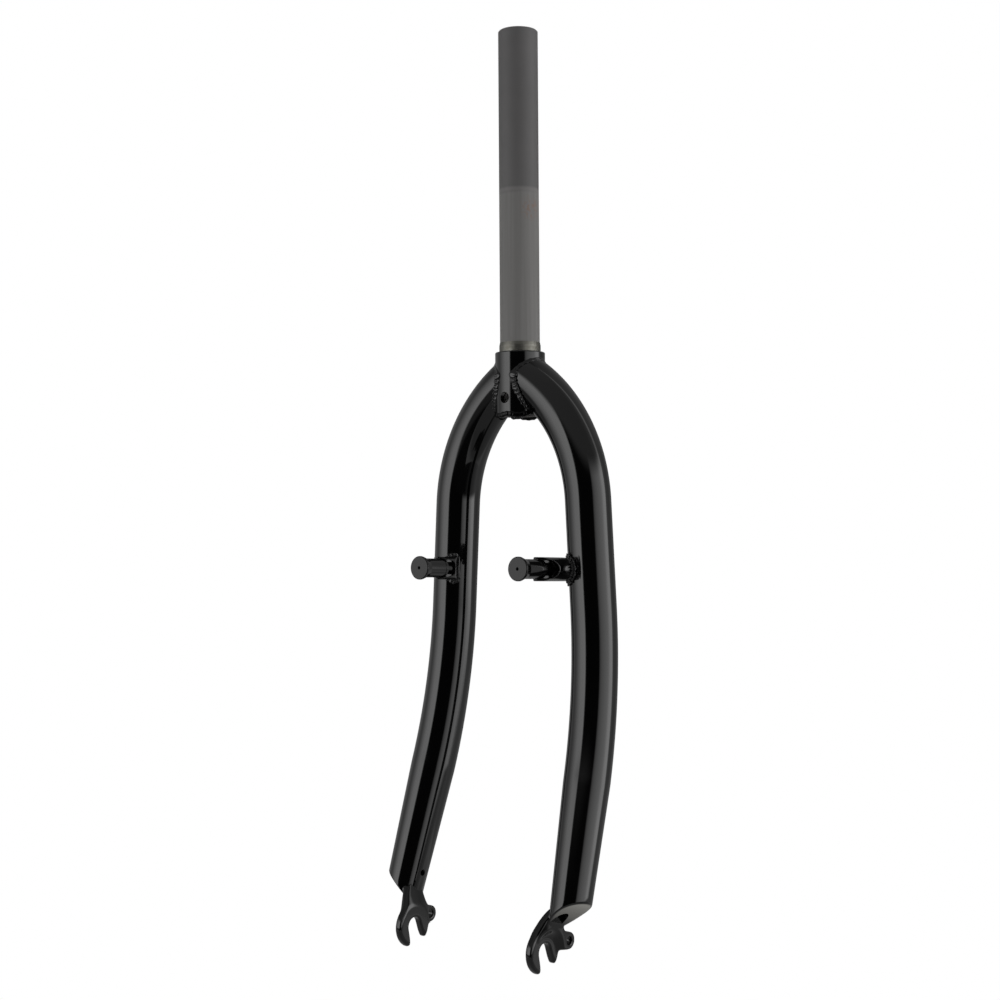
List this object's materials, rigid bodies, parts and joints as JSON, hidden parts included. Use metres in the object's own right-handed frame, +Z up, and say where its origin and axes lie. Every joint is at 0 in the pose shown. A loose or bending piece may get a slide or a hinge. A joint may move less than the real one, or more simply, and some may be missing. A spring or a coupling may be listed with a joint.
{
  "type": "rigid bicycle fork",
  "caption": "Rigid bicycle fork with a plain steerer tube, round blades arched from a crown collar, cranked dropouts with axle slots and fender eyelets, and brake studs.",
  "frame": {"origin": "on the steerer axis, at the shoulder under the crown race seat", "axes": "+Z up the steerer, -Y to the front where the brake studs point, +X to the rider's left"},
  "size_m": [0.1574, 0.0765, 0.5807],
  "materials": {
    "steerer": "matt phosphated steel",
    "paint": "gloss black paint",
    "weld": "gloss black paint over a rippled bead"
  },
  "bodies": {
    "root": {"steerer_tube": "steerer", "crown_collar": "paint", "left_blade": "paint", "left_end_cap": "paint", "left_dropout": "paint", "left_brake_base": "paint", "left_brake_stud": "paint", "left_stud_cap": "paint", "right_blade": "paint", "right_end_cap": "paint", "right_dropout": "paint", "right_brake_base": "paint", "right_brake_stud": "paint", "right_stud_cap": "paint", "left_crown_weld": "weld", "left_base_weld": "weld", "right_crown_weld": "weld", "right_base_weld": "weld"}
  },
  "joints": []
}
